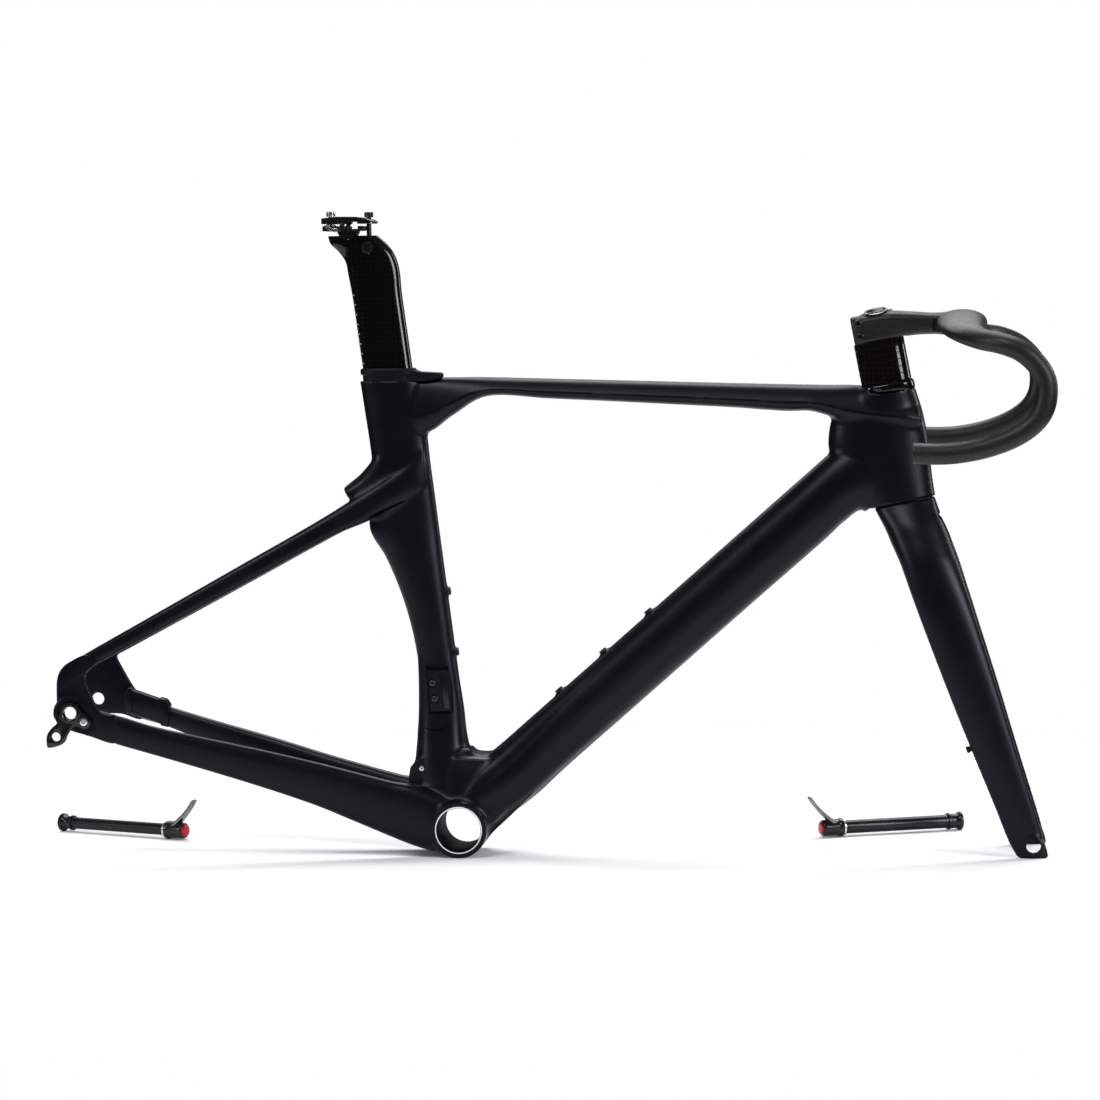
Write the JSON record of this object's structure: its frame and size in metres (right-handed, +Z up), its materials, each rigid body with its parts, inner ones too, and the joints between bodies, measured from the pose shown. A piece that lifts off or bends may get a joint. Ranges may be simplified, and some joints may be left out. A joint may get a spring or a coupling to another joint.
{
  "type": "road bicycle frameset",
  "caption": "Aero road bicycle frame and fork with one-piece handlebar, aero seatpost and saddle clamp, and two loose thru-axles.",
  "frame": {"origin": "middle of the whole set's box, at floor level; the bottom bracket shell and the fork tips stand on the floor", "axes": "+X forward, +Y to the rider's left, +Z up; the drive side faces -Y"},
  "size_m": [1.0652, 0.431, 0.6586],
  "materials": {
    "frame_carbon": "satin clear coat over black carbon fibre",
    "cockpit_carbon": "satin charcoal carbon fibre",
    "gloss_carbon": "deep gloss clear coat",
    "black_plastic": "fine grained moulded plastic",
    "silver_alloy": "bead blasted and polished edges",
    "black_alloy": "black anodised",
    "grey_alloy": "grey anodised",
    "red_alloy": "red anodised",
    "dark_steel": "black oxide",
    "bright_steel": "bright"
  },
  "bodies": {
    "frame": {"front_triangle": "frame_carbon", "seatstay_right": "frame_carbon", "seatstay_left": "frame_carbon", "chainstay_right": "frame_carbon", "chainstay_left": "frame_carbon", "bottom_bracket_sleeve": "silver_alloy", "headset_upper_bearing": "bright_steel", "headset_lower_bearing": "bright_steel", "derailleur_hanger": "black_alloy", "hanger_screw": "bright_steel", "rear_axle_thread_insert": "black_alloy", "front_derailleur_plate": "black_alloy", "front_derailleur_screw_upper": "dark_steel", "front_derailleur_screw_lower": "dark_steel", "cable_guide_screw": "bright_steel", "bottle_screw_down_tube_upper": "dark_steel", "bottle_screw_down_tube_middle": "dark_steel", "bottle_screw_down_tube_lower": "dark_steel", "bottle_screw_seat_tube_upper": "dark_steel", "bottle_screw_seat_tube_lower": "dark_steel", "seat_clamp_wedge": "black_alloy", "seat_clamp_bolt": "dark_steel", "seat_clamp_cover": "black_plastic", "headset_cover": "gloss_carbon"},
    "seatpost": {"seatpost": "gloss_carbon", "seatpost_barrel_nut": "black_alloy"},
    "saddle_clamp": {"saddle_cradle": "black_alloy", "rail_clamp": "silver_alloy", "clamp_bolt_rear": "bright_steel", "clamp_bolt_front": "dark_steel"},
    "fork": {"fork": "frame_carbon", "crown_race": "bright_steel", "headset_compression_ring": "bright_steel", "spacer_1": "gloss_carbon", "spacer_2": "gloss_carbon", "spacer_3": "gloss_carbon", "spacer_4": "gloss_carbon", "spacer_5": "gloss_carbon", "spacer_6": "gloss_carbon", "cockpit": "cockpit_carbon", "stem_screw_upper": "dark_steel", "stem_screw_lower": "dark_steel", "top_cap": "black_alloy", "top_cap_bolt": "dark_steel", "steerer_expander": "silver_alloy", "front_axle_thread_insert": "black_alloy", "fork_cable_guide": "black_plastic"},
    "rear_thru_axle": {"rear_axle_shaft": "black_alloy", "rear_axle_nut": "black_alloy", "rear_axle_washer": "silver_alloy"},
    "rear_lever": {"rear_axle_lever": "grey_alloy", "rear_axle_cap": "red_alloy"},
    "front_thru_axle": {"front_axle_shaft": "black_alloy", "front_axle_nut": "black_alloy", "front_axle_washer": "silver_alloy"},
    "front_lever": {"front_axle_lever": "grey_alloy", "front_axle_cap": "red_alloy"}
  },
  "joints": [
    {"name": "steering", "type": "hinge", "parent": "frame", "child": "fork", "pos_m": [0.36125, 0, 0.515], "axis": [-0.1771, 0, 0.9842], "range_deg": [-50, 50]},
    {"name": "seat_height", "type": "slide", "parent": "frame", "child": "seatpost", "axis": [-0.1253, 0, 0.9921], "range_m": [-0.06, 0.03]},
    {"name": "saddle_tilt", "type": "hinge", "parent": "seatpost", "child": "saddle_clamp", "pos_m": [-0.17975, 0, 0.64], "axis": [0, 1, 0], "range_deg": [-8, 8]},
    {"name": "rear_axle_lift", "type": "slide", "parent": "frame", "child": "rear_thru_axle", "axis": [0, 0, 1], "range_m": [0, 0.15]},
    {"name": "rear_lever_turn", "type": "hinge", "parent": "rear_thru_axle", "child": "rear_lever", "pos_m": [-0.37975, 0.112, 0.0096], "axis": [-0.8829, 0.4695, 0], "range_deg": [-90, 90]},
    {"name": "front_axle_lift", "type": "slide", "parent": "frame", "child": "front_thru_axle", "axis": [0, 0, 1], "range_m": [0, 0.15]},
    {"name": "front_lever_turn", "type": "hinge", "parent": "front_thru_axle", "child": "front_lever", "pos_m": [0.28925, 0.112, 0.0096], "axis": [0.9272, 0.3746, 0], "range_deg": [-90, 90]}
  ]
}
